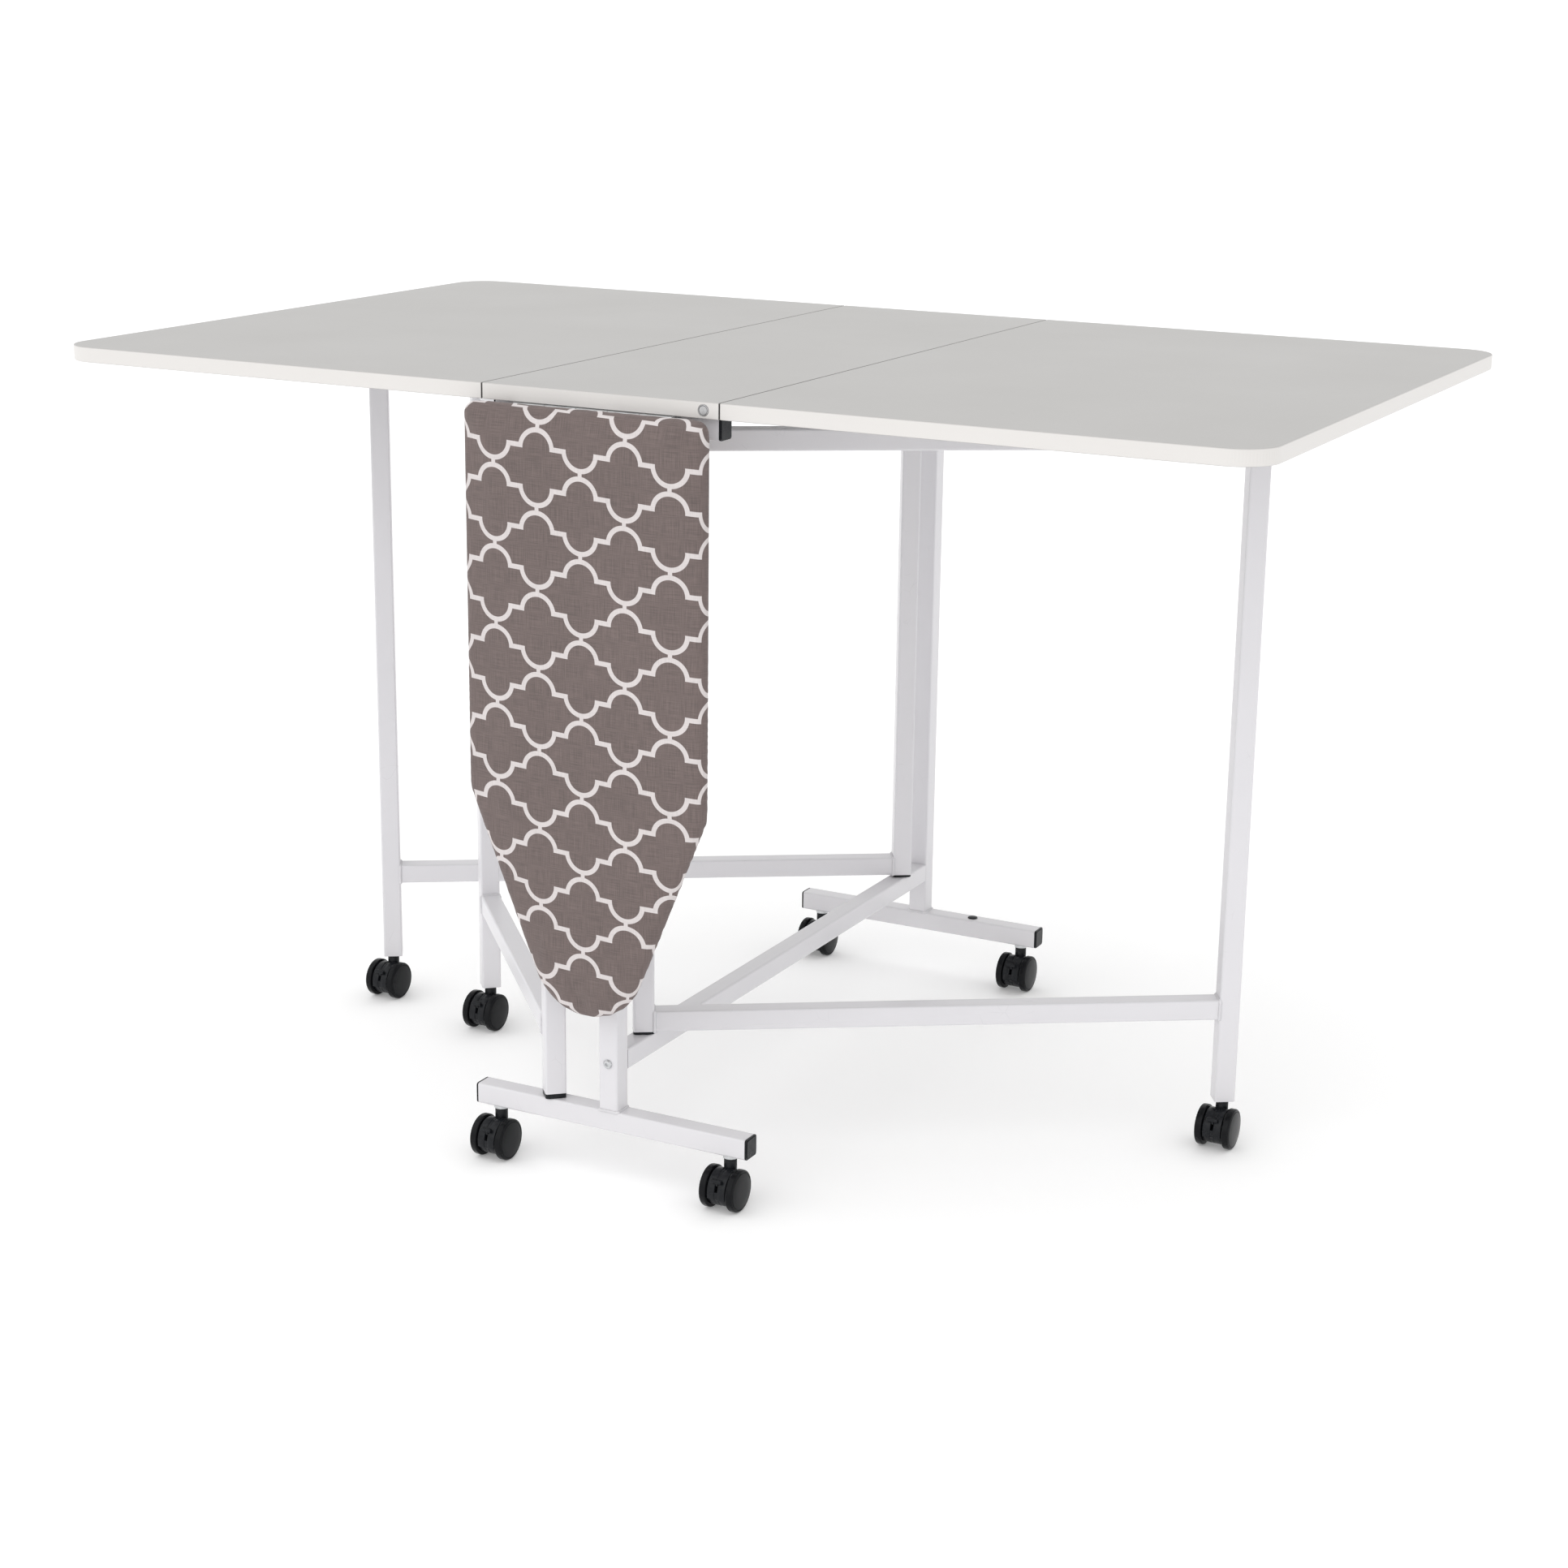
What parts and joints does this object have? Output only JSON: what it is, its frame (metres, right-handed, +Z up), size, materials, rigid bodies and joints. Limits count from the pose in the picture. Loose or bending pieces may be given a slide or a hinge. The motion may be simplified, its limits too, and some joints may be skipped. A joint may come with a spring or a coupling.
{
  "type": "folding sewing table",
  "caption": "Folding sewing table with drop leaves on swing-out gates, twin-wheel casters and a padded ironing board hanging from one end.",
  "frame": {"origin": "centre of the bounding box, on the floor", "axes": "+X along the top to the right leaf, +Y to the back, away from the ironing board, +Z up"},
  "size_m": [1.505, 0.938, 0.9265],
  "materials": {
    "laminate": "light grey melamine with a white edge band, satin",
    "powder_coat": "white powder coat, fine orange peel",
    "black_plastic": "black nylon, fine grain",
    "wheel_plastic": "black nylon wheel, semi-matte",
    "lever_plastic": "dark grey nylon",
    "zinc": "zinc plated steel",
    "deck": "raw fibreboard",
    "cover": "printed cotton cover over foam",
    "badge": "satin disc"
  },
  "bodies": {
    "frame": {"centre_panel": "laminate", "edge_badge": "badge", "lower_stretcher": "powder_coat", "upper_stretcher": "powder_coat", "rear_pivot_plug": "black_plastic", "right_hinge_fixed": "zinc", "left_hinge_fixed": "zinc", "iron_hinge_fixed": "zinc", "iron_hinge_pin": "zinc", "front_foot_bar": "powder_coat", "front_post": "powder_coat", "front_top_rail": "powder_coat", "front_post_bolt": "zinc", "front_foot_cap_left": "black_plastic", "front_rail_cap_left": "black_plastic", "front_foot_cap_right": "black_plastic", "front_rail_cap_right": "black_plastic", "rear_foot_bar": "powder_coat", "rear_post": "powder_coat", "rear_top_rail": "powder_coat", "rear_post_bolt": "zinc", "rear_foot_cap_left": "black_plastic", "rear_rail_cap_left": "black_plastic", "rear_foot_cap_right": "black_plastic", "rear_rail_cap_right": "black_plastic"},
    "right_leaf_body": {"right_leaf": "laminate", "right_hinge_moving": "zinc"},
    "left_leaf_body": {"left_leaf": "laminate", "left_hinge_moving": "zinc"},
    "right_gate_body": {"right_gate": "powder_coat", "right_gate_glide": "black_plastic"},
    "left_gate_body": {"left_gate": "powder_coat", "left_gate_glide": "black_plastic"},
    "press_gate_body": {"press_gate": "powder_coat", "press_gate_glide": "black_plastic"},
    "board_body": {"ironing_deck": "deck", "ironing_pad": "cover", "iron_hinge_moving": "zinc"},
    "front_left_caster_body": {"front_left_caster": "black_plastic"},
    "front_left_wheels_body": {"front_left_wheels": "wheel_plastic"},
    "front_left_brake_body": {"front_left_brake": "lever_plastic"},
    "front_right_caster_body": {"front_right_caster": "black_plastic"},
    "front_right_wheels_body": {"front_right_wheels": "wheel_plastic"},
    "front_right_brake_body": {"front_right_brake": "lever_plastic"},
    "rear_left_caster_body": {"rear_left_caster": "black_plastic"},
    "rear_left_wheels_body": {"rear_left_wheels": "wheel_plastic"},
    "rear_left_brake_body": {"rear_left_brake": "lever_plastic"},
    "rear_right_caster_body": {"rear_right_caster": "black_plastic"},
    "rear_right_wheels_body": {"rear_right_wheels": "wheel_plastic"},
    "rear_right_brake_body": {"rear_right_brake": "lever_plastic"},
    "right_gate_caster_body": {"right_gate_caster": "black_plastic"},
    "right_gate_wheels_body": {"right_gate_wheels": "wheel_plastic"},
    "right_gate_brake_body": {"right_gate_brake": "lever_plastic"},
    "left_gate_caster_body": {"left_gate_caster": "black_plastic"},
    "left_gate_wheels_body": {"left_gate_wheels": "wheel_plastic"},
    "left_gate_brake_body": {"left_gate_brake": "lever_plastic"},
    "press_gate_caster_body": {"press_gate_caster": "black_plastic"},
    "press_gate_wheels_body": {"press_gate_wheels": "wheel_plastic"},
    "press_gate_brake_body": {"press_gate_brake": "lever_plastic"}
  },
  "joints": [
    {"name": "right_leaf_lift", "type": "hinge", "parent": "frame", "child": "right_leaf_body", "pos_m": [0.1495, 0.017, 0.9051], "axis": [0, -1, 0], "range_deg": [0, 2]},
    {"name": "left_leaf_lift", "type": "hinge", "parent": "frame", "child": "left_leaf_body", "pos_m": [-0.1495, 0.017, 0.9051], "axis": [0, 1, 0], "range_deg": [0, 2]},
    {"name": "right_gate_swing", "type": "hinge", "parent": "frame", "child": "right_gate_body", "pos_m": [-0.0015, -0.336, 0.5], "axis": [0, 0, 1], "range_deg": [-33, 52]},
    {"name": "left_gate_swing", "type": "hinge", "parent": "frame", "child": "left_gate_body", "pos_m": [0.0015, 0.37, 0.5], "axis": [0, 0, 1], "range_deg": [-33, 10]},
    {"name": "press_gate_swing", "type": "hinge", "parent": "frame", "child": "press_gate_body", "pos_m": [-0.081, -0.408, 0.5], "axis": [0, 0, 1], "range_deg": [-42, 45]},
    {"name": "board_lift", "type": "hinge", "parent": "frame", "child": "board_body", "pos_m": [-0.005, -0.4395, 0.9062], "axis": [-1, 0, 0], "range_deg": [0, 90]},
    {"name": "front_left_swivel", "type": "hinge", "parent": "frame", "child": "front_left_caster_body", "pos_m": [-0.1555, -0.408, 0.055], "axis": [0, 0, 1], "continuous": true},
    {"name": "front_left_roll", "type": "hinge", "parent": "front_left_caster_body", "child": "front_left_wheels_body", "pos_m": [-0.1555, -0.421, 0.025], "axis": [1, 0, 0], "continuous": true},
    {"name": "front_left_lever", "type": "hinge", "parent": "front_left_caster_body", "child": "front_left_brake_body", "pos_m": [-0.1555, -0.431, 0.033], "axis": [1, 0, 0], "range_deg": [0, 15]},
    {"name": "front_right_swivel", "type": "hinge", "parent": "frame", "child": "front_right_caster_body", "pos_m": [0.1555, -0.408, 0.055], "axis": [0, 0, 1], "continuous": true},
    {"name": "front_right_roll", "type": "hinge", "parent": "front_right_caster_body", "child": "front_right_wheels_body", "pos_m": [0.1555, -0.421, 0.025], "axis": [1, 0, 0], "continuous": true},
    {"name": "front_right_lever", "type": "hinge", "parent": "front_right_caster_body", "child": "front_right_brake_body", "pos_m": [0.1555, -0.431, 0.033], "axis": [1, 0, 0], "range_deg": [0, 15]},
    {"name": "rear_left_swivel", "type": "hinge", "parent": "frame", "child": "rear_left_caster_body", "pos_m": [-0.1555, 0.442, 0.055], "axis": [0, 0, 1], "continuous": true},
    {"name": "rear_left_roll", "type": "hinge", "parent": "rear_left_caster_body", "child": "rear_left_wheels_body", "pos_m": [-0.1555, 0.429, 0.025], "axis": [1, 0, 0], "continuous": true},
    {"name": "rear_left_lever", "type": "hinge", "parent": "rear_left_caster_body", "child": "rear_left_brake_body", "pos_m": [-0.1555, 0.419, 0.033], "axis": [1, 0, 0], "range_deg": [0, 15]},
    {"name": "rear_right_swivel", "type": "hinge", "parent": "frame", "child": "rear_right_caster_body", "pos_m": [0.1555, 0.442, 0.055], "axis": [0, 0, 1], "continuous": true},
    {"name": "rear_right_roll", "type": "hinge", "parent": "rear_right_caster_body", "child": "rear_right_wheels_body", "pos_m": [0.1555, 0.429, 0.025], "axis": [1, 0, 0], "continuous": true},
    {"name": "rear_right_lever", "type": "hinge", "parent": "rear_right_caster_body", "child": "rear_right_brake_body", "pos_m": [0.1555, 0.419, 0.033], "axis": [1, 0, 0], "range_deg": [0, 15]},
    {"name": "right_gate_swivel", "type": "hinge", "parent": "right_gate_body", "child": "right_gate_caster_body", "pos_m": [0.58941, 0.04336, 0.055], "axis": [0, 0, 1], "continuous": true},
    {"name": "right_gate_roll", "type": "hinge", "parent": "right_gate_caster_body", "child": "right_gate_wheels_body", "pos_m": [0.58941, 0.03036, 0.025], "axis": [1, 0, 0], "continuous": true},
    {"name": "right_gate_lever", "type": "hinge", "parent": "right_gate_caster_body", "child": "right_gate_brake_body", "pos_m": [0.58941, 0.02036, 0.033], "axis": [1, 0, 0], "range_deg": [0, 15]},
    {"name": "left_gate_swivel", "type": "hinge", "parent": "left_gate_body", "child": "left_gate_caster_body", "pos_m": [-0.58941, -0.00936, 0.055], "axis": [0, 0, 1], "continuous": true},
    {"name": "left_gate_roll", "type": "hinge", "parent": "left_gate_caster_body", "child": "left_gate_wheels_body", "pos_m": [-0.58941, -0.02236, 0.025], "axis": [1, 0, 0], "continuous": true},
    {"name": "left_gate_lever", "type": "hinge", "parent": "left_gate_caster_body", "child": "left_gate_brake_body", "pos_m": [-0.58941, -0.03236, 0.033], "axis": [1, 0, 0], "range_deg": [0, 15]},
    {"name": "press_gate_swivel", "type": "hinge", "parent": "press_gate_body", "child": "press_gate_caster_body", "pos_m": [-0.40374, -0.05081, 0.055], "axis": [0, 0, 1], "continuous": true},
    {"name": "press_gate_roll", "type": "hinge", "parent": "press_gate_caster_body", "child": "press_gate_wheels_body", "pos_m": [-0.40374, -0.06381, 0.025], "axis": [1, 0, 0], "continuous": true},
    {"name": "press_gate_lever", "type": "hinge", "parent": "press_gate_caster_body", "child": "press_gate_brake_body", "pos_m": [-0.40374, -0.07381, 0.033], "axis": [1, 0, 0], "range_deg": [0, 15]}
  ]
}
